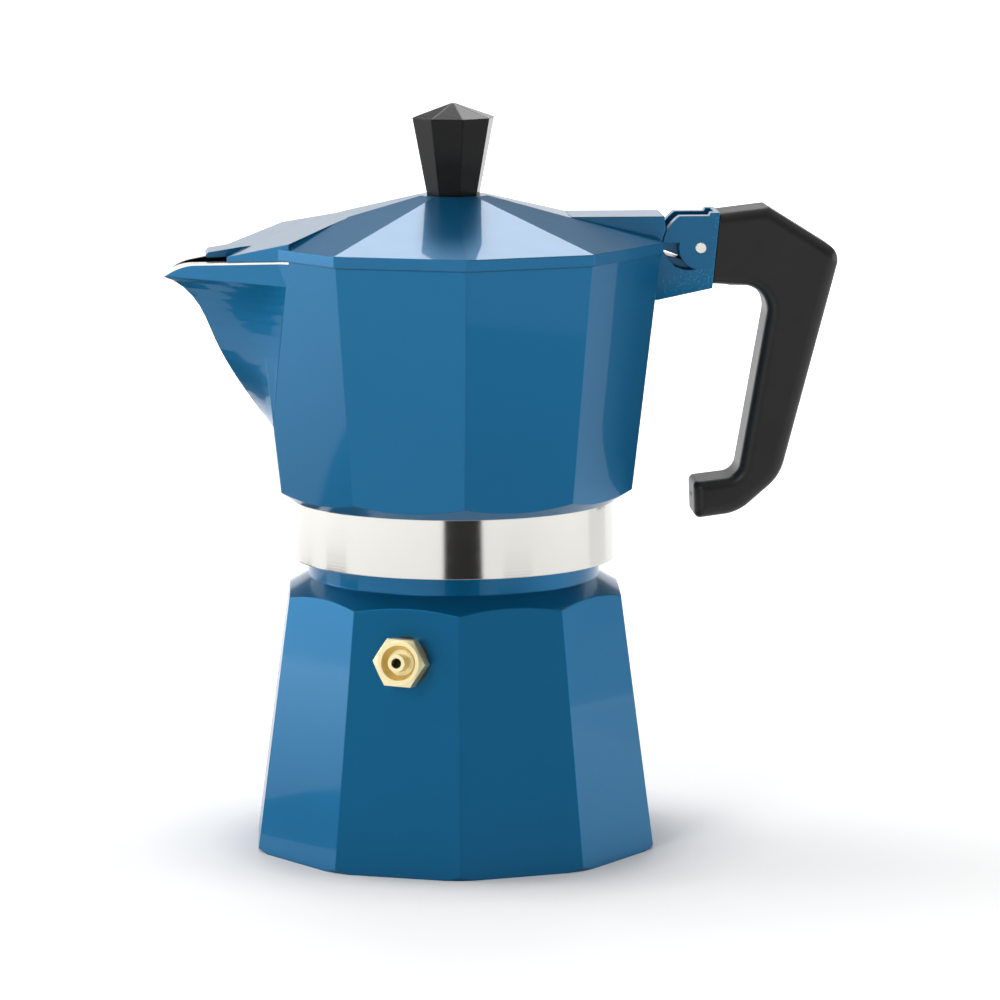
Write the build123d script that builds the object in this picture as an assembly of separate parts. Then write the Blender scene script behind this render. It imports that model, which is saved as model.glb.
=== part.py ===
from build123d import *
import math
import os

# Stovetop moka pot, ten-sided, cast aluminium. Millimetres, +Z up.
# Origin: centre of the boiler's resting face, on the pot's axis.
# +X points from the axis to the handle, -X to the pouring spout.

os.makedirs("parts", exist_ok=True)

# ---- driving dimensions -------------------------------------------------
SIDES = 10
STEP = 2 * math.pi / SIDES                 # angle of one facet
MID_FACET = math.cos(math.pi / SIDES)      # apothem of a decagon over its circumradius
OVER = 1.0                                 # how far a cutter or a rooted piece runs past a face
BOILER_TURN = 1.72                         # boiler facets stop this far short of the collector's, degrees

# boiler
BOILER_BASE_R = 54.27                      # circumradius at the floor
BOILER_TAPER = 0.1347                      # circumradius lost per mm of height
BASE_EDGE_R, BASE_EDGE_H = 53.1, 1.3       # turned edge that takes the corners off the base
NECK_R, NECK_BOTTOM, NECK_TOP = 38.0, 70.9, 75.5
SHOULDER_SLOPE = 0.578                     # rise per mm of radius of the turned shoulder
RIM_TOP = 86.0                             # top of the boiler's threaded neck
BOILER_WALL, BOILER_FLOOR = 3.1, 3.0
BOILER_BORE_R = 33.0
BOILER_BORE_BOTTOM = 69.0
CAVITY_TAPER_TOP = 61.0                    # the wall is parallel to the facets up to here
CAVITY_CORNER = 3.0                        # bevel round the cavity's floor

# screw thread between boiler and collector
PITCH = 3.0
THREAD_ROOT_R = 36.4                       # core of the boiler's neck
THREAD_CREST_R = 37.6
SKIRT_BORE_R = 38.1                        # wall of the collector's threaded skirt
SKIRT_CREST_R = 36.8
RIDGE_ROOT_W, RIDGE_CREST_W = 1.35, 0.75   # axial width of a thread ridge
RIDGE_SINK = 0.25                          # how deep a ridge is rooted in its wall
MALE_Z, FEMALE_Z = 77.7, 77.7 + PITCH / 2  # the two ridges run half a pitch apart
THREAD_TURNS = 2.0

# stack between boiler and collector
FLANGE_R, FLANGE_T = 35.6, 0.8
GASKET_R, GASKET_BORE_R, GASKET_T = 36.2, 28.0, 3.0
PLATE_R, PLATE_T = 33.4, 0.6
STACK_GAP = 0.05
POCKET_PLAY = 0.3                          # round the gasket and the plate, in the collector's underside

# funnel
BASKET_R, BASKET_WALL, BASKET_BOTTOM = 31.6, 0.8, 62.0
STEM_R, STEM_WALL, STEM_TOP, STEM_BOTTOM = 5.0, 0.8, 53.5, 8.0
SIEVE_T = 0.6
HOLE_R = 0.8
HOLE_RINGS = 5
HOLE_SPACING = 5.0

# collector
SKIRT_R, SKIRT_BOTTOM, SKIRT_TOP = 42.42, 75.8, 91.1
COLLECTOR_R, COLLECTOR_R_Z = 47.80, 94.7   # circumradius at that height
COLLECTOR_FLARE = 0.1193                   # circumradius gained per mm of height
UNDER_SLOPE = 0.64                         # rise per mm of radius of the turned cone under the facets
SEAM_Z = 155.8                             # collector's top edge, under the lid's rim
COLLECTOR_WALL = 2.7
CHAMBER_FLOOR = 95.2
COLUMN_R, COLUMN_TOP_R, COLUMN_TOP = 8.0, 5.6, 141.0
COLUMN_BORE_R, COLUMN_BORE_TOP_R = 4.4, 3.4
COLUMN_FOOT_Z, COLUMN_FOOT_FLARE = 101.0, 2.0
COLUMN_CAP = 2.0                           # closed top of the column, and its bevel
PORT_W, PORT_H = 3.2, 6.0                  # the column's two outlets
BELL_R, BELL_TOP = 31.0, 97.5              # hollow under the floor, that leads to the column's bore
FLOOR_CONE_R = 30.0                        # where the floor starts to rise to the column

# spout: nose line in the XZ plane, and the line where its sides leave the body
SPOUT_NOSE = [(-46.6, 109.5), (-55.0, 120.4), (-62.3, 132.8), (-66.9, 142.4), (-70.8, 146.6), (-76.2, 149.3)]
SPOUT_STATIONS = 16
SPOUT_ROOT_Z, SPOUT_ROOT_T = 113.8, 15.23  # the root runs along the facet, T from the facet's middle
SPOUT_ROOT_FALL = 0.305                    # T lost per mm of height
SPOUT_PROUD = 0.06                         # how far the root stands off the facet
SPOUT_FACET = 1.5                          # facets from -Y to the middle of the one that carries the root
SPOUT_BACK_X, SPOUT_BACK_STEP = -36.0, 4.0 # closed inside the body, this much narrower than the root
SPOUT_WALL = 2.0
SPOUT_NOSE_FILLET, SPOUT_CHANNEL_FILLET = 1.2, 0.5
SPOUT_RIM_X, SPOUT_RIM_FALL = -43.65, 0.1  # where the rim starts to fall, and its slope
LIP_START = (-67.0, 153.45)
LIP_MID = (-72.2, 152.1)
LIP_TIP = (-75.9, 149.2)

# hinge
PIN_X, PIN_Z, PIN_R = 63.69, 156.57, 1.45
HINGE_W = 17.6                             # width of the bracket, the lid's lug and the handle
EAR_GAP = 9.8                              # slot between the bracket's two ears
TONGUE_W = 9.0
TONGUE_R = 3.2
TONGUE_ROOT_X = -12.0                      # where the tongue leaves the lug, from the pin
TONGUE_ROOT_TOP, TONGUE_ROOT_BOTTOM = 3.4, 0.2
TONGUE_NECK_X = -3.0
SLOT_REACH = 3.7                           # slot's back wall, from the pin
EAR_FRONT_R = 10.0                         # front of the ears, an arc round the pin
EAR_LOBE_R = 5.7
EAR_TOP = 164.87
RUNNING = 0.05                             # radial clearance of the pin in the lid's tongue
BRACKET_WALL_X = 50.0                      # inside the collector's wall, where the bracket is rooted
BRACKET_PROFILE = [(BRACKET_WALL_X, 143.0), (52.7, 143.14), (66.7, 146.1), (68.6, 165.7), (66.2, 165.7),
                   (65.8, EAR_TOP), (PIN_X, EAR_TOP), (PIN_X, 151.0), (59.5, 150.9), (56.8, 151.9),
                   (54.0, 155.6), (BRACKET_WALL_X, 155.6)]
SLOT_FRONT_X = PIN_X - 12                  # the slot runs out through the front of the ears
SLOT_FLOOR, SLOT_CORNER_Z, SLOT_CORNER = 151.3, 153.5, 2.4
LOBE_X, LOBE_BOTTOM = -8.0, 148.0          # front of the ears' lower lobe, from the pin, and its foot
WEB_GAP = 0.55                             # under the lid's tongue
WEB_FOOT = 149.0
WEB_BACK_X, WEB_STEP_X, WEB_FRONT_X = PIN_X + 1, PIN_X - 3, PIN_X - 9
WEB_TOP = PIN_Z - TONGUE_R - WEB_GAP
WEB_FRONT_TOP = PIN_Z - 1.5 - WEB_GAP      # higher in front, where the lid's tongue is thinner
WEB_PROFILE = [(BRACKET_WALL_X, WEB_FOOT), (WEB_BACK_X, WEB_FOOT), (WEB_BACK_X, WEB_TOP),
               (WEB_STEP_X, WEB_TOP), (WEB_FRONT_X, WEB_FRONT_TOP), (BRACKET_WALL_X, WEB_FRONT_TOP)]

# lid
LID_R, LID_RIM_Z = 55.87, 158.84
LID_SLOPE = 0.241                          # fall per mm of radius along a corner ridge
LID_TOP_Z = 170.1
LID_WALL = 2.0
LID_GAP = 0.1                              # between the lid's rim and the collector
BEAK_SLOPE = 0.299
BEAK_X, BEAK_Z = -30.2, 164.4              # a point on the beak's flat top
BEAK_PLAN = [(-30.2, 11.5), (-43.65, 29.15), (-59.1, 15.0), (-55.2, 6.4)]
BEAK_BACK_X, BEAK_END_X = -28.0, -60.0      # the roof is level behind the first, and ends before the second
BEAK_START = (-15.0, 4.0)                  # inside the roof, where the beak's plan closes
WIDE = 80.0                                # wider than the lid: for a cut right across it
TAB_FRONT_X, TAB_HALF_W = -64.4, 6.4
TAB_ROOT_X, TAB_NOSE_R = -52.0, 0.7
TAB_TOP_Z, TAB_FRONT_Z, TAB_BOTTOM_Z = 157.5, 156.1, 154.7
LUG_FRONT_X = 30.0
LUG_BOTTOM = 158.0
LUG_REACH = 10.3                           # back of the lug, an arc round the pin
LUG_STEP_X, LUG_STEP_Z = -9.5, 4.6         # relief that lets the lid stand upright, from the pin
LUG_FOOT_X, LUG_FLOOR = -14.0, -0.6        # front of the lug's hollow back, and its underside, from the pin

# knob
KNOB_SIDES, KNOB_TURN = 8, 10.0
KNOB_R_BOTTOM, KNOB_R_TOP, KNOB_RIM_Z, KNOB_APEX_Z = 7.0, 10.9, 190.2, 193.8
KNOB_SCREW_R, KNOB_SCREW_DEPTH = 2.0, 12.0
KNOB_HEAD_R, KNOB_HEAD_H = 3.8, 2.4
KNOB_WASHER_R, KNOB_WASHER_T = 5.6, 0.8
KNOB_SEAT = LID_TOP_Z - 3.4                # underside of the lid's hub, where the washer bears
HUB_R = 7.5
KNOB_TIP_R = 0.6
CROSS_W, CROSS_DEPTH = 1.0, 1.2            # cross recess of both screws
KNOB_CROSS_L, HANDLE_CROSS_L = 4.4, 4.0

# handle
HANDLE_EDGE_R = 3.0
SOCKET_W, SOCKET_H, SOCKET_X = 8.0, 11.0, 81.0
SOCKET_BOTTOM = 150.8
SOCKET_GAP = 0.15
HANDLE_SCREW_X, HANDLE_SCREW_R, HANDLE_SCREW_TOP = 74.5, 2.0, 159.0
HANDLE_HEAD_R, HANDLE_HEAD_H = 3.5, 2.2
HANDLE_WASHER_R, HANDLE_WASHER_T = 3.9, 0.6
COUNTERBORE_R, COUNTERBORE_TOP = 4.1, 149.0
VENT_R, VENT_DEPTH = 0.8, 5.0
VENT_X, VENT_Z = 62.0, 91.0

# safety valve, on the facet left of the front corner
VALVE_FACET = -18.0 - BOILER_TURN          # azimuth of the facet, from -Y towards +X
VALVE_Z = 54.7
HEX_AF, HEX_H, HEX_ROLL = 12.0, 5.2, -2.0
HEX_CHAMFER_W, HEX_CHAMFER_H = 0.5, 1.1
MOUTH_R = 4.5                              # dished mouth of the spring chamber
VALVE_WASHER_R, VALVE_WASHER_T = 6.4, 0.8
SHANK_R, SHANK_LENGTH = 4.9, 8.0
BOSS_R, BOSS_DEPTH = 7.6, 6.2
CHAMBER_R, CHAMBER_BOTTOM = 3.35, -5.5     # spring chamber, along the valve's axis from the facet
ORIFICE_R = 1.5
RETAINER_T, RETAINER_TOP = 1.0, 3.2
COLLAR_R, COLLAR_BORE_R, COLLAR_TOP = 2.25, 1.3, 7.6
PLUNGER_R, PLUNGER_HEAD_T, STEM_PIN_R, STEM_PIN_TOP = 2.9, 1.2, 1.1, 5.8
SEAL_R, SEAL_T = 2.7, 1.0
SPRING_R, WIRE_R, SPRING_TURNS = 2.2, 0.3, 5


# ---- helpers ------------------------------------------------------------
def tube(outer, inner, bottom, top):
    """A ring or sleeve on the Z axis."""
    height = top - bottom
    middle = Pos(0, 0, (bottom + top) / 2)
    return middle * (Cylinder(outer, height) - Cylinder(inner, height))


def rod(radius, bottom, top):
    return Pos(0, 0, (bottom + top) / 2) * Cylinder(radius, top - bottom)


def turned(points):
    """A solid of revolution about Z from (radius, height) points."""
    return revolve(Plane.XZ * make_face(Polyline(*points, close=True)), Axis.Z)


def ngon(radius, sides, height, first_corner=0.0):
    """A horizontal regular polygon; first_corner is its azimuth from -Y towards +X."""
    step = 2 * math.pi / sides
    start = math.radians(first_corner)
    corners = [(radius * math.sin(start + k * step), -radius * math.cos(start + k * step))
               for k in range(sides)]
    return Pos(0, 0, height) * make_face(Polyline(*corners, close=True))


def frustum(radius_low, radius_high, low, high, sides=SIDES, first_corner=0.0):
    """A tapered prism; equal radii give a plain prism."""
    return loft([ngon(radius_low, sides, low, first_corner),
                 ngon(radius_high, sides, high, first_corner)], ruled=True)


def side_profile(points, width):
    """An XZ outline made into a plate of that width, centred on y = 0."""
    face = Plane.XZ * make_face(Polyline(*points, close=True))
    return extrude(face, width / 2, both=True)


def round_y(radius, width, x=PIN_X, z=PIN_Z):
    """A cylinder along Y, by default on the hinge's axis."""
    return Pos(x, 0, z) * Rot(90, 0, 0) * Cylinder(radius, width)


def cross_recess(length):
    """Cross slot cut upwards into a screw head that faces down."""
    depth = 2 * CROSS_DEPTH
    return Box(CROSS_W, length, depth) + Box(length, CROSS_W, depth)


def perforations(thickness, height):
    """Rings of drilled holes, 6, 12, 18 ... round a central one."""
    holes = [Pos(0, 0, height) * Cylinder(HOLE_R, thickness)]
    for ring in range(1, HOLE_RINGS):
        spots = PolarLocations(ring * HOLE_SPACING, 6 * ring)
        holes += [spot * Pos(0, 0, height) * Cylinder(HOLE_R, thickness) for spot in spots]
    return holes


def thread_ridge(wall_r, crest_r, bottom, turns):
    """One helical ridge, rooted in the wall at wall_r and ending at crest_r."""
    outward = 1 if crest_r > wall_r else -1
    root_r = wall_r - outward * RIDGE_SINK
    path = Pos(0, 0, bottom) * Helix(PITCH, turns * PITCH, root_r)
    depth = crest_r - root_r
    section = Polyline((0, -RIDGE_ROOT_W / 2), (depth, -RIDGE_CREST_W / 2),
                       (depth, RIDGE_CREST_W / 2), (0, RIDGE_ROOT_W / 2), close=True)
    start = Plane(origin=path @ 0, x_dir=(1, 0, 0), z_dir=path % 0)
    return sweep(start * make_face(section), path=path, is_frenet=True)


def boiler_radius(height):
    return BOILER_BASE_R - BOILER_TAPER * height


def collector_radius(height):
    return COLLECTOR_R + COLLECTOR_FLARE * (height - COLLECTOR_R_Z)


# ---- boiler and safety valve --------------------------------------------
def valve_place():
    """Frame on the boiler's facet: local z is the valve's axis, pointing out."""
    azimuth = math.radians(VALVE_FACET)
    lean = math.atan(BOILER_TAPER * MID_FACET)
    apothem = boiler_radius(VALVE_Z) * MID_FACET
    point = (apothem * math.sin(azimuth), -apothem * math.cos(azimuth), VALVE_Z)
    outward = (math.sin(azimuth) * math.cos(lean), -math.cos(azimuth) * math.cos(lean), math.sin(lean))
    sideways = (math.cos(azimuth), math.sin(azimuth), 0)
    return Plane(origin=point, x_dir=sideways, z_dir=outward)


def make_boiler():
    top_z = NECK_BOTTOM + OVER
    facets = frustum(BOILER_BASE_R, boiler_radius(top_z), 0, top_z, first_corner=-BOILER_TURN)
    wide = BOILER_BASE_R + OVER
    shoulder_foot = NECK_BOTTOM - SHOULDER_SLOPE * (wide - NECK_R)
    envelope = turned([(0, 0), (BASE_EDGE_R, 0), (wide, BASE_EDGE_H + wide - BOILER_BASE_R),
                       (wide, shoulder_foot), (NECK_R, NECK_BOTTOM), (0, NECK_BOTTOM)])
    body = facets & envelope
    body += rod(NECK_R, NECK_BOTTOM - 5, NECK_TOP)
    body += rod(THREAD_ROOT_R, NECK_TOP - 1, RIM_TOP)
    side_r = boiler_radius(0) * MID_FACET - BOILER_WALL
    shoulder_r = boiler_radius(CAVITY_TAPER_TOP - OVER) * MID_FACET - BOILER_WALL
    cavity = turned([(0, BOILER_FLOOR), (side_r - CAVITY_CORNER, BOILER_FLOOR),
                     (side_r, BOILER_FLOOR + CAVITY_CORNER), (shoulder_r, CAVITY_TAPER_TOP), (BOILER_BORE_R, BOILER_BORE_BOTTOM),
                     (BOILER_BORE_R, RIM_TOP), (0, RIM_TOP)])
    valve = valve_place()
    boss = valve * rod(BOSS_R, -BOSS_DEPTH, -1)
    body = body - cavity + boss
    body -= valve * rod(SHANK_R + 0.02, -SHANK_LENGTH - 2, 4)
    return body + thread_ridge(THREAD_ROOT_R, THREAD_CREST_R, MALE_Z, THREAD_TURNS)


def make_valve_body():
    base = VALVE_WASHER_T
    corner_r = HEX_AF / 2 / math.cos(math.pi / 6)
    face = base + HEX_H
    head = extrude(Pos(0, 0, base) * RegularPolygon(corner_r, 6, rotation=HEX_ROLL), HEX_H)
    crown = turned([(0, base), (corner_r + 1, base), (corner_r + 1, face - HEX_CHAMFER_H),
                    (HEX_AF / 2 - HEX_CHAMFER_W, face), (0, face)])
    body = (head & crown) + rod(SHANK_R, -SHANK_LENGTH, base)
    body -= turned([(0, CHAMBER_BOTTOM), (CHAMBER_R, CHAMBER_BOTTOM), (CHAMBER_R, RETAINER_TOP),
                    (MOUTH_R, face), (0, face)])
    body -= rod(ORIFICE_R, -SHANK_LENGTH, CHAMBER_BOTTOM)
    return valve_place() * body


def make_valve_washer():
    return valve_place() * tube(VALVE_WASHER_R, SHANK_R + 0.1, 0, VALVE_WASHER_T)


def make_valve_retainer():
    bottom = RETAINER_TOP - RETAINER_T
    disc = tube(CHAMBER_R, COLLAR_BORE_R, bottom, RETAINER_TOP)
    collar = tube(COLLAR_R, COLLAR_BORE_R, RETAINER_TOP, COLLAR_TOP)
    return valve_place() * (disc + collar)


def plunger_seat():
    """Underside of the plunger's head, on top of its seal."""
    return CHAMBER_BOTTOM + STACK_GAP + SEAL_T


def make_valve_plunger():
    head_top = plunger_seat() + PLUNGER_HEAD_T
    head = rod(PLUNGER_R, plunger_seat(), head_top)
    return valve_place() * (head + rod(STEM_PIN_R, head_top, STEM_PIN_TOP))


def make_valve_seal():
    bottom = CHAMBER_BOTTOM + STACK_GAP
    return valve_place() * rod(SEAL_R, bottom, bottom + SEAL_T)


def make_valve_spring():
    bottom = plunger_seat() + PLUNGER_HEAD_T + WIRE_R + STACK_GAP
    top = RETAINER_TOP - RETAINER_T - WIRE_R - STACK_GAP
    length = top - bottom
    path = Pos(0, 0, bottom) * Helix(length / SPRING_TURNS, length, SPRING_R)
    start = Plane(origin=path @ 0, z_dir=path % 0)
    return valve_place() * sweep(start * Circle(WIRE_R), path=path, is_frenet=True)


# ---- coffee funnel, gasket and filter plate -----------------------------
def make_funnel():
    inner = BASKET_R - BASKET_WALL
    cone_in = STEM_R - STEM_WALL
    profile = [(BASKET_R, RIM_TOP), (BASKET_R, BASKET_BOTTOM), (STEM_R, STEM_TOP), (STEM_R, STEM_BOTTOM),
               (cone_in, STEM_BOTTOM), (cone_in, STEM_TOP + 0.4), (inner, BASKET_BOTTOM + 0.4),
               (inner, RIM_TOP + FLANGE_T), (FLANGE_R, RIM_TOP + FLANGE_T), (FLANGE_R, RIM_TOP)]
    return turned(profile)


def make_funnel_sieve():
    level = BASKET_BOTTOM + 1.0
    disc = rod(BASKET_R - BASKET_WALL - 0.05, level, level + SIEVE_T)
    return disc - perforations(4 * SIEVE_T, level)


def gasket_bottom():
    return RIM_TOP + FLANGE_T + STACK_GAP


def plate_bottom():
    return gasket_bottom() + GASKET_T


def make_gasket():
    return tube(GASKET_R, GASKET_BORE_R, gasket_bottom(), plate_bottom())


def make_filter_plate():
    level = plate_bottom()
    disc = rod(PLATE_R, level, level + PLATE_T)
    return disc - perforations(4 * PLATE_T, level)


# ---- collector ----------------------------------------------------------
def spout_section(height, nose_x, inset, fillet_r):
    """Horizontal V section: rounded nose, straight sides to the body, closed inside the body."""
    turn = SPOUT_FACET * STEP
    reach = collector_radius(height) * MID_FACET + SPOUT_PROUD
    corner_t = collector_radius(height) * math.sin(STEP / 2)
    along = min(SPOUT_ROOT_T - SPOUT_ROOT_FALL * (height - SPOUT_ROOT_Z), corner_t)
    root_x = max(-reach * math.sin(turn) - along * math.cos(turn), nose_x + 0.2)
    root_y = reach * math.cos(turn) - along * math.sin(turn)
    half_angle = math.atan2(root_y, root_x - nose_x)
    away = (math.sin(half_angle), math.cos(half_angle))
    root = (root_x + inset * away[0], root_y - inset * away[1])
    nose = nose_x + inset / math.sin(half_angle)
    run = fillet_r / math.tan(half_angle)
    tangent = (nose + run * math.cos(half_angle), run * math.sin(half_angle))
    tip = nose + fillet_r / math.sin(half_angle) - fillet_r
    mirrored = (tangent[0], -tangent[1])
    back_x, back_y = SPOUT_BACK_X, root[1] - SPOUT_BACK_STEP
    outline = [Line(root, tangent),
               ThreePointArc(tangent, (tip, 0), mirrored),
               Line(mirrored, (root[0], -root[1])),
               Line((root[0], -root[1]), (back_x, -back_y)),
               Line((back_x, -back_y), (back_x, back_y)),
               Line((back_x, back_y), root)]
    return Pos(0, 0, height) * make_face(outline)


def spout_wedge(inset, fillet_r, first=0):
    nose_line = Spline(*SPOUT_NOSE)
    stations = [nose_line @ (k / SPOUT_STATIONS) for k in range(first, SPOUT_STATIONS + 1)]
    lower = loft([spout_section(p.Y, p.X, inset, fillet_r) for p in stations], ruled=True)
    top_x, top_z = SPOUT_NOSE[-1]
    upper = extrude(spout_section(top_z, top_x, inset, fillet_r), SEAM_Z + 1 - top_z)
    return lower + upper


def rim_cut():
    """Everything above the spout's rim and its drooping lip."""
    rim_start = (SPOUT_RIM_X, SEAM_Z)
    edge = [Line(rim_start, LIP_START), ThreePointArc(LIP_START, LIP_MID, LIP_TIP)]
    far_x, high_z = LIP_TIP[0] - 2, SEAM_Z + 5
    edge += [Polyline(LIP_TIP, (far_x, LIP_TIP[1]), (far_x, high_z), (SPOUT_RIM_X, high_z), rim_start)]
    return extrude(Plane.XZ * make_face(edge), WIDE / 2, both=True)


def make_bracket():
    """Block that carries the hinge's ears and the tongue inside the handle."""
    behind_x = PIN_X + OVER
    block = side_profile(BRACKET_PROFILE, HINGE_W)
    lobe = round_y(EAR_LOBE_R, HINGE_W) & side_profile(
        [(PIN_X + LOBE_X, LOBE_BOTTOM), (behind_x, LOBE_BOTTOM), (behind_x, EAR_TOP), (PIN_X + LOBE_X, EAR_TOP)],
        HINGE_W)
    front = round_y(EAR_FRONT_R, HINGE_W) & side_profile(
        [(SLOT_FRONT_X, LUG_BOTTOM), (behind_x, LUG_BOTTOM), (behind_x, EAR_TOP), (SLOT_FRONT_X, EAR_TOP)],
        HINGE_W)
    slot = side_profile([(SLOT_FRONT_X, SLOT_FLOOR), (PIN_X + SLOT_CORNER, SLOT_FLOOR),
                         (PIN_X + SLOT_REACH, SLOT_CORNER_Z), (PIN_X + SLOT_REACH, EAR_TOP + 5),
                         (SLOT_FRONT_X, EAR_TOP + 5)], EAR_GAP)
    root_x, end_x = PIN_X + SLOT_REACH, SOCKET_X - 1
    tongue = side_profile([(root_x, SOCKET_BOTTOM), (end_x, SOCKET_BOTTOM + 1),
                           (end_x, SOCKET_BOTTOM + SOCKET_H - 1), (root_x, SOCKET_BOTTOM + SOCKET_H)],
                          SOCKET_W)
    thread = Pos(HANDLE_SCREW_X, 0, 0) * rod(HANDLE_SCREW_R + 0.02, SOCKET_BOTTOM - 1, 160)
    web = side_profile(WEB_PROFILE, EAR_GAP)
    return block + lobe + front - slot + web + tongue - thread - round_y(PIN_R + 0.01, HINGE_W + 2)


def make_collector():
    low = SKIRT_TOP - 2
    facets = frustum(collector_radius(low), collector_radius(SEAM_Z), low, SEAM_Z)
    wide = collector_radius(SEAM_Z) + 2
    envelope = turned([(0, SKIRT_TOP), (SKIRT_R, SKIRT_TOP), (wide, SKIRT_TOP + UNDER_SLOPE * (wide - SKIRT_R)),
                       (wide, SEAM_Z), (0, SEAM_Z)])
    body = facets & envelope
    body += rod(SKIRT_R, SKIRT_BOTTOM, SKIRT_TOP + 0.5)
    body += spout_wedge(0, SPOUT_NOSE_FILLET)
    body += make_bracket() - frustum(COLLECTOR_R - 3, COLLECTOR_R - 1, 80, SEAM_Z + 1)
    chamber = frustum(collector_radius(CHAMBER_FLOOR) - COLLECTOR_WALL / MID_FACET,
                      collector_radius(SEAM_Z + 1) - COLLECTOR_WALL / MID_FACET, CHAMBER_FLOOR, SEAM_Z + 1)
    body -= chamber
    body -= spout_wedge(SPOUT_WALL, SPOUT_CHANNEL_FILLET, first=3)
    body -= rim_cut()
    body += make_column()
    return body - make_underside() + thread_ridge(SKIRT_BORE_R, SKIRT_CREST_R, FEMALE_Z, THREAD_TURNS)


def make_column():
    """Central riser, with the cone of the floor that carries it."""
    floor_cone = [(0, CHAMBER_FLOOR - OVER), (FLOOR_CONE_R, CHAMBER_FLOOR - OVER), (FLOOR_CONE_R, CHAMBER_FLOOR),
                  (COLUMN_R + COLUMN_FOOT_FLARE, COLUMN_FOOT_Z)]
    riser = [(COLUMN_R, COLUMN_FOOT_Z + 3), (COLUMN_TOP_R, COLUMN_TOP),
             (COLUMN_TOP_R - COLUMN_CAP, COLUMN_TOP + COLUMN_CAP), (0, COLUMN_TOP + COLUMN_CAP)]
    return turned(floor_cone + riser)


def make_underside():
    """Skirt bore, gasket pocket, bell under the floor, column bore and outlets."""
    pocket_top = plate_bottom() + STACK_GAP
    recess_top = pocket_top + PLATE_T + STACK_GAP
    outlet_z = COLUMN_TOP - PORT_H / 2 - 1
    hollow = turned([(0, SKIRT_BOTTOM - 1), (SKIRT_BORE_R + 1, SKIRT_BOTTOM - 1),
                     (SKIRT_BORE_R, SKIRT_BOTTOM + 0.6), (SKIRT_BORE_R, RIM_TOP + 0.2),
                     (GASKET_R + POCKET_PLAY, RIM_TOP + 1.6), (GASKET_R + POCKET_PLAY, pocket_top),
                     (PLATE_R + POCKET_PLAY, pocket_top), (PLATE_R + POCKET_PLAY, recess_top),
                     (BELL_R, recess_top), (COLUMN_BORE_R, BELL_TOP),
                     (COLUMN_BORE_TOP_R, COLUMN_TOP - 0.6), (0, COLUMN_TOP - 0.6)])
    outlets = Pos(0, 0, outlet_z) * Box(PORT_W, 4 * COLUMN_R, PORT_H)
    return hollow + outlets


# ---- lid ----------------------------------------------------------------
def lid_shell(inset):
    """Ten-sided roof; inset gives the inner skin."""
    flat_r = LID_R - (LID_TOP_Z - LID_RIM_Z) / LID_SLOPE
    drop = inset * math.hypot(1, LID_SLOPE)
    bottom = SEAM_Z + LID_GAP - (1 if inset else 0)
    shrink = inset / MID_FACET
    rim_r = LID_R - shrink
    rim_z = LID_RIM_Z - drop + LID_SLOPE * shrink
    roof = frustum(rim_r, flat_r, rim_z, LID_TOP_Z - drop)
    return frustum(rim_r, rim_r, bottom, rim_z) + roof


def beak_top(x, inset):
    """Height of the beak's flat roof, or of its inner face."""
    return BEAK_Z + BEAK_SLOPE * (x - BEAK_X) - inset * math.hypot(1, BEAK_SLOPE)


def above_beak(inset):
    """What the beak's roof plane cuts off the lid's corners."""
    far_x, high_z = TAB_FRONT_X - 5, LID_TOP_Z + 5
    return side_profile([(BEAK_BACK_X, beak_top(BEAK_BACK_X, inset)), (far_x, beak_top(far_x, inset)),
                         (far_x, high_z), (BEAK_BACK_X, high_z)], WIDE)


def beak_solid(inset):
    """Roof over the spout: flat sloping top, and walls that follow the spout."""
    outline = [(x + inset * 1.2, max(y - inset * 0.9, 0)) for x, y in BEAK_PLAN]
    half = [BEAK_START] + outline
    plan = half + [(x, -y) for x, y in reversed(half)]
    prism = extrude(Pos(0, 0, 150) * make_face(Polyline(*plan, close=True)), 25)

    def top(x):
        return beak_top(x, inset)

    def rim(x):
        return SEAM_Z + LID_GAP - SPOUT_RIM_FALL * max(SPOUT_RIM_X - x, 0) - (1 if inset else 0)

    side = [(0, top(BEAK_BACK_X)), (BEAK_BACK_X, top(BEAK_BACK_X)), (BEAK_END_X, top(BEAK_END_X)),
            (BEAK_END_X, rim(BEAK_END_X)), (SPOUT_RIM_X, rim(SPOUT_RIM_X)), (0, rim(0))]
    return prism & side_profile(side, WIDE)


def make_tab():
    """Nose tab that stands over the open spout."""
    return side_profile([(TAB_ROOT_X, TAB_TOP_Z + 0.3), (BEAK_PLAN[-1][0], TAB_TOP_Z),
                         (TAB_FRONT_X + TAB_NOSE_R, TAB_FRONT_Z), (TAB_FRONT_X, TAB_FRONT_Z - TAB_NOSE_R),
                         (TAB_FRONT_X + 0.3, TAB_BOTTOM_Z), (TAB_ROOT_X, TAB_BOTTOM_Z + 0.4)],
                        2 * TAB_HALF_W)


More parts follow.
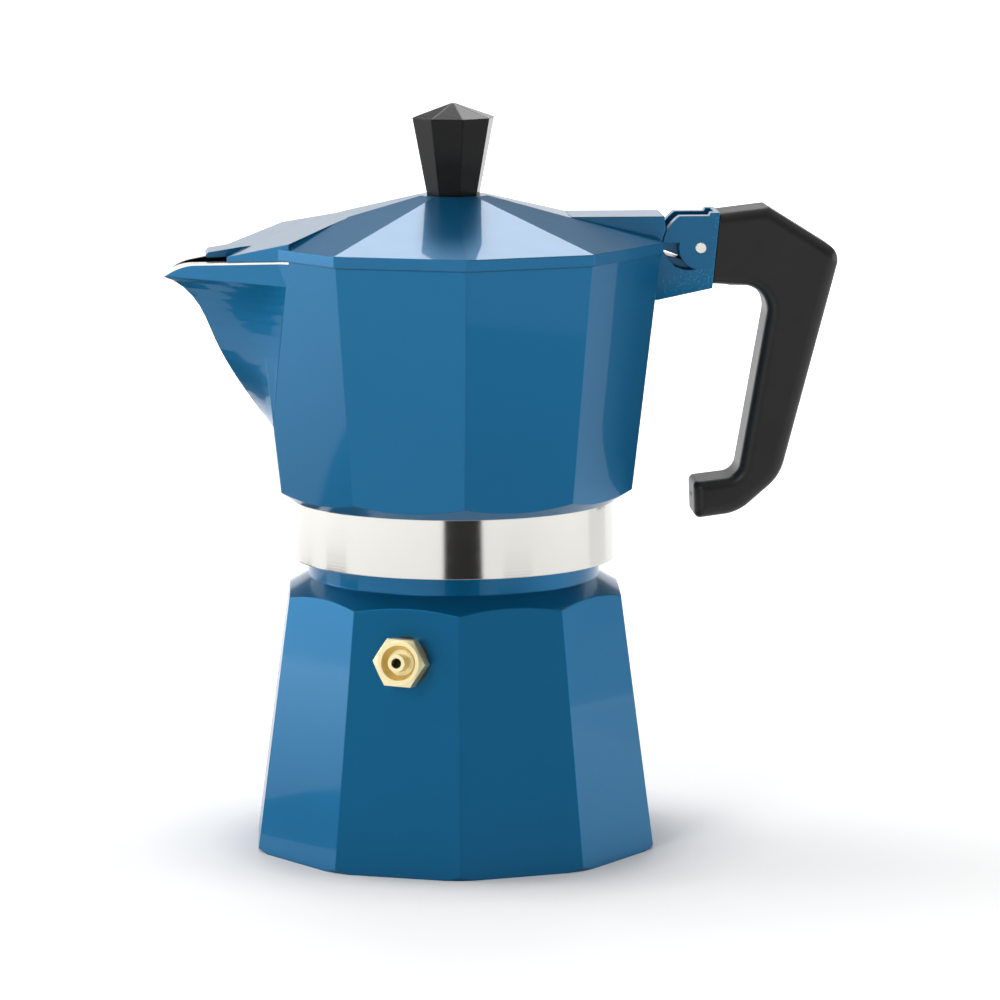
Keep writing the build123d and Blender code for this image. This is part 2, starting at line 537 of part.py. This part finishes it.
def make_lug():
    """Block at the back of the lid, with the tongue that turns on the pin."""
    lift = EAR_TOP - PIN_Z
    back = math.sqrt(LUG_REACH ** 2 - LUG_STEP_Z ** 2)
    foot = LUG_BOTTOM - PIN_Z
    foot_back = math.sqrt(LUG_REACH ** 2 - foot ** 2)
    mid = LUG_STEP_Z / 2 + foot / 2
    mid_back = math.sqrt(LUG_REACH ** 2 - mid ** 2)
    front = LUG_FRONT_X - PIN_X
    outline = [Line((front, lift), (LUG_STEP_X, lift)),
               Line((LUG_STEP_X, lift), (-back, LUG_STEP_Z)),
               ThreePointArc((-back, LUG_STEP_Z), (-mid_back, mid), (-foot_back, foot)),
               Polyline((-foot_back, foot), (LUG_FOOT_X, foot), (LUG_FOOT_X, LUG_FLOOR),
                        (front, LUG_FLOOR), (front, lift))]
    block = extrude(Pos(PIN_X, 0, PIN_Z) * (Plane.XZ * make_face(outline)), HINGE_W / 2, both=True)
    tongue_edge = [(TONGUE_ROOT_X, TONGUE_ROOT_TOP), (TONGUE_NECK_X, TONGUE_R), (0, TONGUE_R),
                   (0, -TONGUE_R), (TONGUE_NECK_X, -TONGUE_R), (TONGUE_ROOT_X, TONGUE_ROOT_BOTTOM)]
    tongue = side_profile([(PIN_X + x, PIN_Z + z) for x, z in tongue_edge], TONGUE_W)
    return block + tongue + round_y(TONGUE_R, TONGUE_W)


def make_lid():
    inside = lid_shell(LID_WALL) - above_beak(LID_WALL) + beak_solid(LID_WALL)
    body = lid_shell(0) - above_beak(0) + beak_solid(0) + make_tab()
    body -= inside
    body += make_lug() - lid_shell(LID_WALL)
    body += rod(HUB_R, KNOB_SEAT, LID_TOP_Z - 0.5)
    body -= rod(KNOB_SCREW_R + 0.15, LID_TOP_Z - 6, LID_TOP_Z + 1)
    return body - round_y(PIN_R + RUNNING, HINGE_W + 2)


def make_knob():
    skirt = frustum(KNOB_R_BOTTOM, KNOB_R_TOP, LID_TOP_Z, KNOB_RIM_Z, KNOB_SIDES, KNOB_TURN)
    peak = loft([ngon(KNOB_R_TOP, KNOB_SIDES, KNOB_RIM_Z, KNOB_TURN),
                 ngon(KNOB_TIP_R, KNOB_SIDES, KNOB_APEX_Z, KNOB_TURN)], ruled=True)
    return skirt + peak - rod(KNOB_SCREW_R + 0.02, LID_TOP_Z, LID_TOP_Z + KNOB_SCREW_DEPTH + 1)


def make_knob_washer():
    return tube(KNOB_WASHER_R, KNOB_SCREW_R + 0.15, KNOB_SEAT - KNOB_WASHER_T, KNOB_SEAT)


def make_knob_screw():
    seat = KNOB_SEAT - KNOB_WASHER_T
    head = rod(KNOB_HEAD_R, seat - KNOB_HEAD_H, seat)
    shank = rod(KNOB_SCREW_R, seat, LID_TOP_Z + KNOB_SCREW_DEPTH)
    return head + shank - Pos(0, 0, seat - KNOB_HEAD_H) * cross_recess(KNOB_CROSS_L)


def make_hinge_pin():
    return round_y(PIN_R, HINGE_W - 0.2)


# ---- handle -------------------------------------------------------------
def handle_outline():
    """Grip seen from the side: straight runs joined by the arcs of its corners."""
    grip = FilletPolyline((68.75, 165.5), (81.3, 167.0), (100.4, 155.0), (85.0, 96.4), (74.0, 86.9),
                          (62.6, 85.4), (62.2, 95.2), (73.8, 96.6), (82.4, 146.2), (66.95, 147.0),
                          radius=[0.6, 4.5, 13.0, 12.0, 1.5, 1.5, 4.0, 6.5], close=False)
    return [grip, Line(grip @ 1, grip @ 0)]


def make_handle():
    face = Plane.XZ * make_face(handle_outline())
    body = extrude(face, HINGE_W / 2, both=True)
    sides = body.faces().filter_by(Axis.Y)
    edges = [edge for side in sides for edge in side.edges() if edge.center().X > 69.5 or edge.center().Z < 120]
    body = fillet(edges, HANDLE_EDGE_R)
    socket_w = SOCKET_W + 2 * SOCKET_GAP
    middle_z = SOCKET_BOTTOM + SOCKET_H / 2
    body -= Pos(SOCKET_X - 10, 0, middle_z) * Box(20, socket_w, SOCKET_H + 2 * SOCKET_GAP)
    body -= Pos(HANDLE_SCREW_X, 0, 0) * rod(HANDLE_SCREW_R + 0.2, 140, SOCKET_BOTTOM + 1)
    body -= Pos(HANDLE_SCREW_X, 0, 0) * rod(COUNTERBORE_R, 140, COUNTERBORE_TOP)
    vent = Pos(VENT_X + VENT_DEPTH / 2, 0, VENT_Z) * Rot(0, 90, 0) * Cylinder(VENT_R, VENT_DEPTH + 1)
    return body - vent


def make_handle_washer():
    ring = tube(HANDLE_WASHER_R, HANDLE_SCREW_R + 0.1, COUNTERBORE_TOP - HANDLE_WASHER_T, COUNTERBORE_TOP)
    return Pos(HANDLE_SCREW_X, 0, 0) * ring


def make_handle_screw():
    seat = COUNTERBORE_TOP - HANDLE_WASHER_T
    head = rod(HANDLE_HEAD_R, seat - HANDLE_HEAD_H, seat)
    screw = head + rod(HANDLE_SCREW_R, seat, HANDLE_SCREW_TOP)
    screw -= Pos(0, 0, seat - HANDLE_HEAD_H) * cross_recess(HANDLE_CROSS_L)
    return Pos(HANDLE_SCREW_X, 0, 0) * screw


PIECES = {
    "boiler": make_boiler,
    "safety_valve_body": make_valve_body,
    "safety_valve_washer": make_valve_washer,
    "safety_valve_retainer": make_valve_retainer,
    "safety_valve_plunger": make_valve_plunger,
    "safety_valve_seal": make_valve_seal,
    "safety_valve_spring": make_valve_spring,
    "funnel": make_funnel,
    "funnel_sieve": make_funnel_sieve,
    "gasket": make_gasket,
    "filter_plate": make_filter_plate,
    "collector": make_collector,
    "lid": make_lid,
    "lid_knob": make_knob,
    "knob_screw": make_knob_screw,
    "knob_washer": make_knob_washer,
    "hinge_pin": make_hinge_pin,
    "handle": make_handle,
    "handle_screw": make_handle_screw,
    "handle_washer": make_handle_washer,
}

for name, make in PIECES.items():
    piece = make()
    export_step(piece, f"parts/{name}.step")
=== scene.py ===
import math

import bpy
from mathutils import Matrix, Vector


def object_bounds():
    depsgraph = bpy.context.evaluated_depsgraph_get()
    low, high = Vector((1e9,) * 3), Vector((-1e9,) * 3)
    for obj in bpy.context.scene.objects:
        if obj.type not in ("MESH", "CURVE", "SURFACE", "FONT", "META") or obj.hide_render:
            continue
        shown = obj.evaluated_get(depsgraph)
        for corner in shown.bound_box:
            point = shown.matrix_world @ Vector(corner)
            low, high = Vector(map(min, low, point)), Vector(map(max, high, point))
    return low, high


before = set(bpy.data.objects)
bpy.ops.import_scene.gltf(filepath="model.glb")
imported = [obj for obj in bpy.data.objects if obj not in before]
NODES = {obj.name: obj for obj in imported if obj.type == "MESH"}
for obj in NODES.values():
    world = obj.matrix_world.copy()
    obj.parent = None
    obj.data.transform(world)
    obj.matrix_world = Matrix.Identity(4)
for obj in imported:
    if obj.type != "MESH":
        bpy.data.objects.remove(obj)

# Looks, studio and camera for the stovetop coffee maker. Metres, in the CAD's frame.
MM = 0.001

CAD_BOX = [list(corner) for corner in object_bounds()]


# ---- a small shorthand for shader trees -----------------------------------
class Graph:
    """A material whose nodes are added one at a time."""

    def __init__(self, name):
        self.material = bpy.data.materials.new(name)
        self.material.use_nodes = True
        self.tree = self.material.node_tree
        self.tree.nodes.clear()

    def add(self, kind, inputs=None, **settings):
        node = self.tree.nodes.new(kind)
        for key, value in settings.items():
            setattr(node, key, value)
        for key, value in (inputs or {}).items():
            self.put(node.inputs[key], value)
        return node

    def put(self, socket, value):
        if isinstance(value, bpy.types.NodeSocket):
            self.tree.links.new(value, socket)
        else:
            socket.default_value = value

    def math(self, operation, first, second=0.0):
        return self.add("ShaderNodeMath", {0: first, 1: second}, operation=operation).outputs[0]

    def dot(self, first, second):
        node = self.add("ShaderNodeVectorMath", {0: first, 1: second}, operation="DOT_PRODUCT")
        return node.outputs["Value"]

    def step_up(self, value, edge, soft=0.1 * MM):
        """0 below the edge and 1 above it, with a narrow ramp."""
        ends = {"Value": value, "From Min": edge - soft, "From Max": edge + soft}
        return self.add("ShaderNodeMapRange", ends).outputs["Result"]

    def either(self, *masks):
        total = masks[0]
        for mask in masks[1:]:
            total = self.math("MAXIMUM", total, mask)
        return total

    def both(self, *masks):
        total = masks[0]
        for mask in masks[1:]:
            total = self.math("MULTIPLY", total, mask)
        return total

    def invert(self, mask):
        return self.math("SUBTRACT", 1.0, mask)

    def noise(self, vector, scale, detail=3.0, roughness=0.55):
        node = self.add("ShaderNodeTexNoise", {"Vector": vector, "Scale": scale, "Detail": detail,
                                               "Roughness": roughness})
        return node.outputs["Fac"]

    def ramp(self, value, low, high):
        """Maps 0..1 to low..high."""
        node = self.add("ShaderNodeMapRange", {"Value": value, "To Min": low, "To Max": high})
        return node.outputs["Result"]

    def blend(self, factor, first, second):
        node = self.add("ShaderNodeMix", data_type="RGBA")
        self.put(node.inputs["Factor"], factor)
        self.put(node.inputs[6], first)
        self.put(node.inputs[7], second)
        return node.outputs[2]

    def bump(self, height, strength, distance, normal=None):
        inputs = {"Height": height, "Strength": strength, "Distance": distance}
        if normal is not None:
            inputs["Normal"] = normal
        return self.add("ShaderNodeBump", inputs).outputs["Normal"]

    def rounded(self, radius):
        return self.add("ShaderNodeBevel", {"Radius": radius}, samples=6).outputs["Normal"]

    def finish(self, shader):
        self.add("ShaderNodeOutputMaterial", {"Surface": shader})
        return self.material


def place(graph):
    """The object position, its x and z, its distance from the pot's axis, and how far its normal
    faces away from that axis and up."""
    here = graph.add("ShaderNodeTexCoord")
    point, normal = here.outputs["Object"], here.outputs["Normal"]
    parts = graph.add("ShaderNodeSeparateXYZ", {"Vector": point})
    x, z = parts.outputs["X"], parts.outputs["Z"]
    flat = graph.add("ShaderNodeCombineXYZ", {"X": x, "Y": parts.outputs["Y"]})
    radius = graph.add("ShaderNodeVectorMath", {0: flat.outputs[0]}, operation="LENGTH").outputs["Value"]
    outward = graph.add("ShaderNodeVectorMath", {0: flat.outputs[0]}, operation="NORMALIZE").outputs["Vector"]
    facing = graph.dot(normal, outward)
    up = graph.add("ShaderNodeSeparateXYZ", {"Vector": normal}).outputs["Z"]
    return {"point": point, "x": x, "z": z, "radius": radius, "facing": facing, "up": up}


# ---- painted castings with their bare metal -------------------------------
PAINT = (0.0045, 0.126, 0.278, 1)
PAINT_DEEP = (0.0035, 0.114, 0.256, 1)
# a lighter blue, painted as glints on the peaks of the rough cast grain
PAINT_GLINT = (0.0200, 0.270, 0.450, 1)
BARE = (0.60, 0.59, 0.56, 1)
CAST = (0.52, 0.52, 0.51, 1)


def enamel(graph, at, cast=None):
    """Gloss enamel: faint orange peel, and a coarser sprayed grain where the casting is rough, its peaks
    coloured a lighter blue as painted glints.
    """
    drift = graph.noise(at["point"], 24.0, 2.0)
    peel = graph.noise(at["point"], 900.0, 2.0)
    colour = graph.blend(drift, PAINT_DEEP, PAINT)
    roughness = graph.ramp(graph.noise(at["point"], 130.0, 4.0), 0.26, 0.34)
    normal = graph.bump(peel, 0.05, 0.05 * MM, graph.rounded(0.55 * MM))
    if cast is not None:
        grain = graph.noise(at["point"], 1700.0, 4.0, 0.7)
        # painted glints: the grain's peaks take the lighter blue; the grain's bump below is real texture
        glint_specks = graph.step_up(grain, 0.60, 0.05)
        colour = graph.blend(graph.both(cast, glint_specks), colour, PAINT_GLINT)
        normal = graph.bump(graph.both(cast, grain), 0.55, 0.25 * MM, normal)
    return graph.add("ShaderNodeBsdfPrincipled", {
        "Base Color": colour, "Roughness": roughness, "Normal": normal, "Metallic": 0.46,
        "IOR": 1.5, "Specular IOR Level": 0.04,
        "Coat Weight": 0.48, "Coat Roughness": 0.04, "Coat IOR": 1.38}).outputs[0]


def bare_metal(graph, at, turned):
    """Bare aluminium: fine turning lines where turned is 1, sandy casting elsewhere."""
    lines = graph.add("ShaderNodeTexNoise", {
        "Vector": graph.add("ShaderNodeCombineXYZ", {"X": at["radius"], "Z": at["z"]}).outputs[0],
        "Scale": 2600.0, "Detail": 4.0, "Roughness": 0.7}).outputs["Fac"]
    sand = graph.noise(at["point"], 1100.0, 4.0, 0.65)
    stain = graph.noise(at["point"], 60.0, 4.0)
    colour = graph.blend(graph.both(turned, graph.ramp(stain, 0.75, 1.0)), CAST, BARE)
    height = graph.add("ShaderNodeMix", {0: turned, 2: sand, 3: lines}).outputs[0]
    roughness = graph.add("ShaderNodeMix", {
        0: turned, 2: graph.ramp(sand, 0.38, 0.55), 3: graph.ramp(lines, 0.07, 0.15)}).outputs[0]
    normal = graph.bump(height, 0.10, 0.05 * MM, graph.rounded(0.35 * MM))
    return graph.add("ShaderNodeBsdfPrincipled", {
        "Base Color": colour, "Metallic": 1.0, "Roughness": roughness, "Normal": normal}).outputs[0]


def two_finishes(name, bare_mask, turned_mask, cast_mask=None):
    """Enamel outside, bare metal wherever bare_mask says."""
    graph = Graph(name)
    at = place(graph)
    cast = cast_mask(graph, at) if cast_mask else None
    bare = bare_mask(graph, at)
    mix = graph.add("ShaderNodeMixShader", {
        0: bare, 1: enamel(graph, at, cast), 2: bare_metal(graph, at, turned_mask(graph, at))})
    return graph.finish(mix.outputs[0])


INWARD = -0.12                              # a wall whose normal points to the axis is an inside wall
STEEP = 0.02                                # softness of a mask that reads the normal
FACES_UP = 0.3                              # a normal that rises more than this is a floor's
BOILER_FLOOR_Z = (2.0 * MM, 6.5 * MM)       # heights between which the boiler's inside floor lies
CHAMBER_FLOOR_Z = (94.0 * MM, 104.0 * MM)   # and the collector's
COLUMN_R = 31.0 * MM                        # the riser and the cone of the floor are inside this
BOILER_RIM_Z = 75.7 * MM                    # foot of the boiler's thread
SKIRT_TOP_Z = 91.1 * MM                     # top of the collector's bare ring
BRACKET_X = 46.0 * MM                       # the hinge's bracket starts here
SEAM_FACE_Z = 140.0 * MM                    # faces above this that look up are the seam's
UPPER_WALL_Z = 147.0 * MM                   # bare metal above this is turned
LID_BORE_R = 53.6 * MM                      # the lid's inside wall is within this
CAST_X, CAST_Z = 53.0 * MM, 151.4 * MM      # the bracket is rough past the first, and below the second
CAST_STRIP_X = 66.6 * MM                    # the rough strip along the handle starts here
SPOUT_X, SPOUT_RIM_Z = -43.65 * MM, 155.8 * MM   # where the spout's rim starts to fall
SPOUT_FALL = 0.1                            # slope of the rim from there
LIP_X, LIP_CURVE = -67.0 * MM, 42.8   # past LIP_X it also drops by LIP_CURVE times the distance squared
RIM_BAND = 0.6 * MM                         # height of the rim's bare band


def boiler_bare(graph, at):
    inner = graph.invert(graph.step_up(at["facing"], INWARD, STEEP))
    low, high = BOILER_FLOOR_Z
    floor_inside = graph.both(graph.step_up(at["z"], low), graph.invert(graph.step_up(at["z"], high)),
                              graph.step_up(at["up"], FACES_UP, STEEP))
    return graph.either(inner, floor_inside, graph.step_up(at["z"], BOILER_RIM_Z))


def boiler_turned(graph, at):
    return graph.step_up(at["z"], BOILER_RIM_Z)


def collector_bare(graph, at):
    not_bracket = graph.invert(graph.step_up(at["x"], BRACKET_X))
    low, high = CHAMBER_FLOOR_Z
    inner = graph.both(graph.invert(graph.step_up(at["facing"], INWARD, STEEP)), not_bracket)
    core = graph.both(graph.invert(graph.step_up(at["radius"], COLUMN_R)), graph.step_up(at["z"], low))
    floor = graph.both(graph.step_up(at["up"], FACES_UP, STEEP), not_bracket,
                       graph.invert(graph.step_up(at["z"], high)), graph.step_up(at["z"], low))
    rim_z = graph.math("SUBTRACT", SPOUT_RIM_Z, graph.math(
        "MULTIPLY", SPOUT_FALL, graph.math("MAXIMUM", graph.math("SUBTRACT", SPOUT_X, at["x"]), 0.0)))
    past_lip = graph.math("MAXIMUM", graph.math("SUBTRACT", LIP_X, at["x"]), 0.0)
    rim_z = graph.math("SUBTRACT", rim_z, graph.math("MULTIPLY", LIP_CURVE, graph.math("POWER", past_lip, 2.0)))
    below_rim = graph.math("SUBTRACT", rim_z, at["z"])
    band = graph.both(graph.invert(graph.step_up(below_rim, RIM_BAND)),
                      graph.invert(graph.step_up(at["x"], SPOUT_X)))
    top_face = graph.both(graph.step_up(at["up"], 0.8, 0.05), graph.step_up(at["z"], SEAM_FACE_Z), not_bracket)
    skirt = graph.invert(graph.step_up(at["z"], SKIRT_TOP_Z))
    return graph.either(inner, core, floor, band, top_face, skirt)


def collector_turned(graph, at):
    return graph.either(graph.invert(graph.step_up(at["z"], SKIRT_TOP_Z)), graph.step_up(at["z"], UPPER_WALL_Z))


def collector_cast(graph, at):
    """The bracket is left as cast below its ears, and in a strip along the handle."""
    low = graph.invert(graph.step_up(at["z"], CAST_Z, 0.4 * MM))
    strip = graph.step_up(at["x"], CAST_STRIP_X, 0.3 * MM)
    return graph.both(graph.step_up(at["x"], CAST_X, 1.0 * MM), graph.either(low, strip))


def lid_bare(graph, at):
    under = graph.invert(graph.step_up(at["up"], -0.15, STEEP))
    inner = graph.both(graph.invert(graph.step_up(at["facing"], -0.5, STEEP)),
                       graph.invert(graph.step_up(at["radius"], LID_BORE_R)))
    return graph.both(graph.either(under, inner), graph.invert(graph.step_up(at["x"], BRACKET_X)))


def never(graph, at):
    return graph.math("MULTIPLY", at["x"], 0.0)


# ---- single-finish materials ----------------------------------------------
def metal(name, colour, dark, rough, line_scale, edge=0.25, lines_along=None):
    """Turned or spun metal with machining lines and a little tarnish."""
    graph = Graph(name)
    at = place(graph)
    vector = at["point"] if lines_along is None else graph.add(
        "ShaderNodeVectorMath", {0: at["point"], 1: lines_along}, operation="MULTIPLY").outputs["Vector"]
    lines = graph.noise(vector, line_scale, 4.0, 0.7)
    tarnish = graph.noise(at["point"], 260.0, 4.0)
    normal = graph.bump(lines, 0.12, 0.04 * MM, graph.rounded(edge * MM))
    return graph.finish(graph.add("ShaderNodeBsdfPrincipled", {
        "Base Color": graph.blend(tarnish, dark, colour), "Metallic": 1.0,
        "Roughness": graph.ramp(lines, rough[0], rough[1]), "Normal": normal}).outputs[0])


def moulded(name, colour, worn, rough, specular, grain=0.10, edge=0.5):
    """Moulded plastic or rubber: faint grain, softened edges, scuffs that change its gloss."""
    graph = Graph(name)
    at = place(graph)
    fine = graph.noise(at["point"], 2200.0, 3.0)
    scuff = graph.noise(at["point"], 95.0, 5.0, 0.65)
    normal = graph.bump(fine, grain, 0.05 * MM, graph.rounded(edge * MM))
    return graph.finish(graph.add("ShaderNodeBsdfPrincipled", {
        "Base Color": graph.blend(scuff, colour, worn),
        "Roughness": graph.ramp(scuff, rough[0], rough[1]), "Normal": normal,
        "IOR": 1.5, "Specular IOR Level": specular}).outputs[0])


def dress(material, *names):
    for name in names:
        node = NODES[name]
        for place_in_list in range(len(node.material_slots)):
            node.material_slots[place_in_list].material = material


dress(two_finishes("boiler_enamel", boiler_bare, boiler_turned), "boiler")
dress(two_finishes("collector_enamel", collector_bare, collector_turned, collector_cast), "collector")
dress(two_finishes("lid_enamel", lid_bare, never), "lid")
dress(metal("spun_aluminium", (0.80, 0.80, 0.79, 1), (0.66, 0.66, 0.65, 1), (0.22, 0.38), 900.0,
            lines_along=(1, 1, 4)), "funnel", "funnel_sieve", "filter_plate")
dress(metal("turned_brass", (1.0, 0.90, 0.58, 1), (0.97, 0.82, 0.46, 1), (0.34, 0.50), 1500.0),
      "safety_valve_body", "safety_valve_retainer")
# brass coloured nearly black: painted shade standing in for the dark hole in the valve's top
dress(metal("plunger_brass_painted_shade", (0.050, 0.034, 0.018, 1), (0.020, 0.014, 0.008, 1), (0.50, 0.70), 1500.0),
      "safety_valve_plunger")
dress(metal("spring_wire", (0.60, 0.60, 0.61, 1), (0.45, 0.45, 0.46, 1), (0.22, 0.36), 1800.0, 0.1),
      "safety_valve_spring")
dress(metal("plated_steel", (0.66, 0.66, 0.68, 1), (0.50, 0.50, 0.51, 1), (0.24, 0.40), 1200.0),
      "knob_screw", "knob_washer", "handle_screw", "handle_washer")
dress(metal("bright_pin", (0.90, 0.89, 0.86, 1), (0.74, 0.73, 0.70, 1), (0.12, 0.24), 1400.0, 0.3),
      "hinge_pin")
dress(moulded("knob_black", (0.010, 0.010, 0.011, 1), (0.018, 0.018, 0.018, 1), (0.10, 0.18), 0.10, 0.04),
      "lid_knob")
dress(moulded("handle_black", (0.013, 0.013, 0.013, 1), (0.022, 0.022, 0.021, 1), (0.30, 0.42), 0.26),
      "handle")
dress(moulded("seal_silicone", (0.82, 0.80, 0.75, 1), (0.72, 0.70, 0.64, 1), (0.50, 0.66), 0.4), "gasket",
      "safety_valve_seal")
dress(moulded("pressed_fibre", (0.060, 0.034, 0.022, 1), (0.100, 0.062, 0.044, 1), (0.70, 0.85), 0.3, 0.4),
      "safety_valve_washer")


# ---- studio ---------------------------------------------------------------
FLOOR_HALF = 9.0
FLAG_LIFT = 0.001                           # cards lie this far above the floor
# The floor's own light is nil within 54 mm of the axis and grows outwards: a painted contact shadow around the
# base.
FLOOR_GLOW_AND_PAINTED_SHADOW = [(0.0, 0.0), (0.054, 0.0), (0.066, 0.15), (0.085, 0.25), (1.1, 0.90)]
WHITE, GREY, BLACK = (0.9, 0.9, 0.9, 1), (0.25, 0.25, 0.25, 1), (0.01, 0.01, 0.01, 1)
MATT = 0.9


def fill_ramp(ramp, stops):
    """Grey stops, each a position and a level."""
    while len(ramp.elements) < len(stops):
        ramp.elements.new(0.5)
    for element, (position, level) in zip(ramp.elements, stops):
        element.position, element.color = position, (level, level, level, 1)


def sheet(name, corners, shader_name, colour, glow):
    """A flat sheet; glow lists its own light at growing distances from the pot's axis. On the floor that light
    is nil close to the pot, which is a painted contact shadow.
    """
    mesh = bpy.data.meshes.new(name)
    mesh.from_pydata(corners, [], [tuple(range(len(corners)))])
    piece = bpy.data.objects.new(name, mesh)
    bpy.context.scene.collection.objects.link(piece)
    graph = Graph(shader_name)
    share = graph.math("DIVIDE", place(graph)["radius"], glow[-1][0])
    reach = graph.add("ShaderNodeValToRGB", {"Fac": share})
    fill_ramp(reach.color_ramp, [(distance / glow[-1][0], level) for distance, level in glow])
    shader = graph.add("ShaderNodeBsdfPrincipled", {
        "Base Color": colour, "Roughness": MATT, "Specular IOR Level": 0.1,
        "Emission Color": (1, 1, 1, 1), "Emission Strength": reach.outputs["Color"]})
    mesh.materials.append(graph.finish(shader.outputs[0]))
    return piece


def lamp(name, place_at, aim_at, width, height, power):
    data = bpy.data.lights.new(name, "AREA")
    data.shape, data.size, data.size_y, data.energy = "RECTANGLE", width, height, power
    light = bpy.data.objects.new(name, data)
    bpy.context.scene.collection.objects.link(light)
    light.location = place_at
    light.rotation_euler = (Vector(aim_at) - Vector(place_at)).to_track_quat("-Z", "Y").to_euler()
    return light


def flag(name, corners, colour=BLACK, glow=0.0):
    """A card on the floor that the camera doesn't see: only glossy surfaces do."""
    raised = [(x, y, FLAG_LIFT) for x, y in corners]
    card = sheet(name, raised, name + "_card", colour, [(0.0, glow), (1.0, glow)])
    card.visible_camera = False
    card.visible_shadow = False
    card.visible_diffuse = False


floor_z = CAD_BOX[0][2]
# the pale floor, with a painted contact shadow around the pot's base
sheet("floor", [(-FLOOR_HALF, -FLOOR_HALF, floor_z), (FLOOR_HALF, -FLOOR_HALF, floor_z),
                (FLOOR_HALF, FLOOR_HALF, floor_z), (-FLOOR_HALF, FLOOR_HALF, floor_z)],
      "pale_floor_painted_shadow", (0.86, 0.86, 0.86, 1), FLOOR_GLOW_AND_PAINTED_SHADOW)
flag("front_flag", [(-0.230, -1.30), (0.330, -1.30), (0.060, -0.16), (-0.030, -0.16)])
flag("spout_flag", [(-0.460, -0.060), (-0.110, -0.060), (-0.110, 0.030), (-0.370, 0.078),
                    (-0.460, 0.090)])
flag("spout_foot_flag", [(-0.110, 0.060), (-0.340, 0.140), (-0.390, 0.240), (-0.290, 0.330),
                         (-0.090, 0.160)])
flag("right_bounce", [(0.360, 0.100), (0.800, 0.200), (0.800, 0.600), (0.360, 0.300)],
     WHITE, 0.30)
flag("right_shade", [(0.120, -0.120), (0.080, -0.170), (0.240, -0.400), (0.360, -0.290)],
     GREY, 0.45)
flag("right_far_shade", [(0.850, 0.100), (5.0, 0.80), (5.0, 2.60), (0.850, 0.520)],
     GREY, 0.20)

middle = (0.0, 0.0, 0.10)
lamp("key_left", (-1.6, 0.62, 0.72), middle, 1.4, 1.4, 19)
lamp("fill_right", (1.8, -0.15, 0.35), middle, 1.0, 0.8, 8)
lamp("back_top", (0.10, 1.90, 1.60), middle, 1.25, 0.60, 10)
lamp("front_soft", (-1.5, -2.0, 1.5), middle, 0.9, 0.9, 18)

# The world is bright near the horizon, dark above it and pale overhead, and dimmer in front.
# Each band is the sine of an elevation and a level.
WORLD_BANDS = [(0.0, 1.25), (0.20, 1.25), (0.27, 0.12), (0.60, 0.12), (0.68, 1.10), (1.0, 1.10)]
FRONT_SHARE = 0.34                          # of the world's strength, in front of the pot
FRONT_Y, BACK_Y = -0.5, 0.3                 # between these its strength rises to the whole
world = bpy.data.worlds.new("studio")
bpy.context.scene.world = world
world.use_nodes = True
sky = world.node_tree
background = sky.nodes["Background"]
heading = sky.nodes.new("ShaderNodeSeparateXYZ")
sky.links.new(sky.nodes.new("ShaderNodeTexCoord").outputs["Generated"], heading.inputs[0])
bands = sky.nodes.new("ShaderNodeValToRGB")
fill_ramp(bands.color_ramp, WORLD_BANDS)
share = sky.nodes.new("ShaderNodeMapRange")
for key, value in {"From Min": FRONT_Y, "From Max": BACK_Y, "To Min": FRONT_SHARE, "To Max": 1.0}.items():
    share.inputs[key].default_value = value
sky.links.new(heading.outputs["Z"], bands.inputs[0])
sky.links.new(heading.outputs["Y"], share.inputs["Value"])
sky.links.new(bands.outputs["Color"], background.inputs["Color"])
sky.links.new(share.outputs["Result"], background.inputs["Strength"])
bpy.context.scene.view_settings.view_transform = "Standard"

# ---- camera, at the photograph's viewing angle -----------------------------
HEADING, PITCH = math.radians(3.93), math.radians(8.64)   # to the right of +Y, and downwards
CAMERA_AT = (-0.0830, -1.3847, 0.3007)
SENSOR_MM, LENS_MM = 36.0, 193.1
camera_data = bpy.data.cameras.new("camera")
camera_data.sensor_width, camera_data.lens = SENSOR_MM, LENS_MM
camera_data.clip_start, camera_data.clip_end = 0.05, 50.0
camera = bpy.data.objects.new("camera", camera_data)
bpy.context.scene.collection.objects.link(camera)
camera.location = CAMERA_AT
level = math.cos(PITCH)
looks_along = Vector((math.sin(HEADING) * level, math.cos(HEADING) * level, -math.sin(PITCH)))
camera.rotation_euler = looks_along.to_track_quat("-Z", "Y").to_euler()
bpy.context.scene.camera = camera
